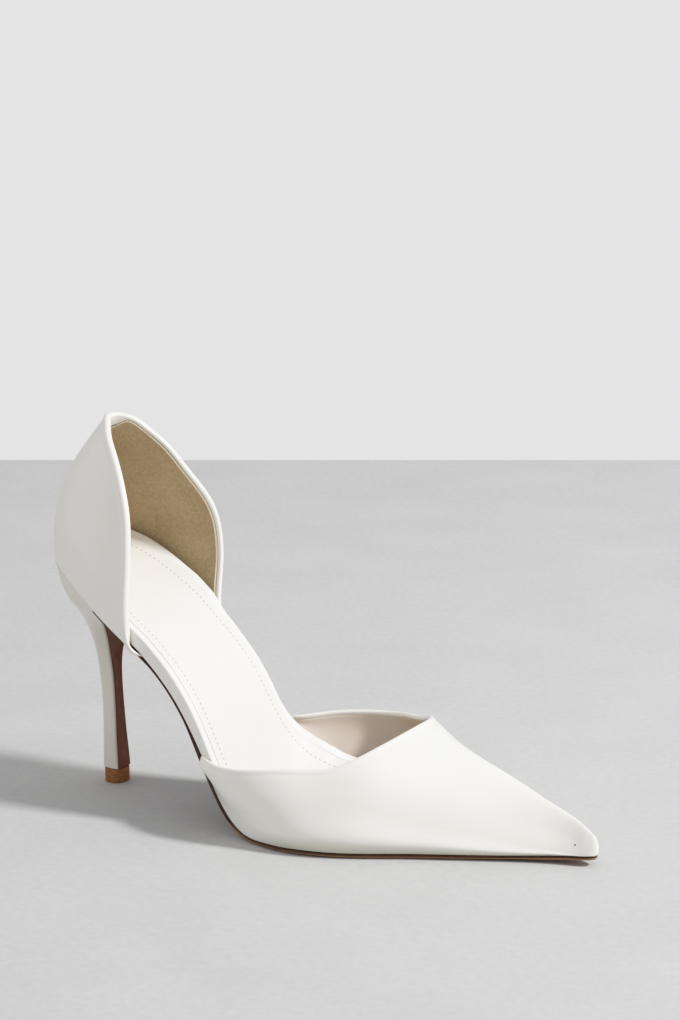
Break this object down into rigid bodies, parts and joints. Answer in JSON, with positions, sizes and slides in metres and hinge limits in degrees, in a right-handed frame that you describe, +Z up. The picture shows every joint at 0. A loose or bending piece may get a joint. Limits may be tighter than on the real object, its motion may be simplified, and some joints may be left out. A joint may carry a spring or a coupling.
{
  "type": "cut-out court shoe",
  "caption": "Pointed court shoe with open cut-out sides: low front upper, tall leaf-shaped heel counter, arched covered insole, thin outsole and slim high heel. Right foot.",
  "frame": {"origin": "on the floor, under the middle of the shoe's bounding box", "axes": "+X to the toe, +Y to the inner side of the foot, +Z up from the floor"},
  "size_m": [0.2385, 0.0892, 0.1524],
  "materials": {
    "white_patent": "off-white patent, glossy",
    "white_cover": "off-white covering, satin",
    "white_sock": "off-white sock, satin",
    "brown_sole": "brown resin sole, satin",
    "brown_breast": "dark brown covering, satin",
    "tan_top_piece": "tan-brown, matt"
  },
  "bodies": {
    "root": {"vamp": "white_patent", "counter": "white_patent", "heel": "white_patent", "insole": "white_cover", "sock": "white_sock", "outsole": "brown_sole", "heel_breast": "brown_breast", "top_piece": "tan_top_piece"}
  },
  "joints": []
}
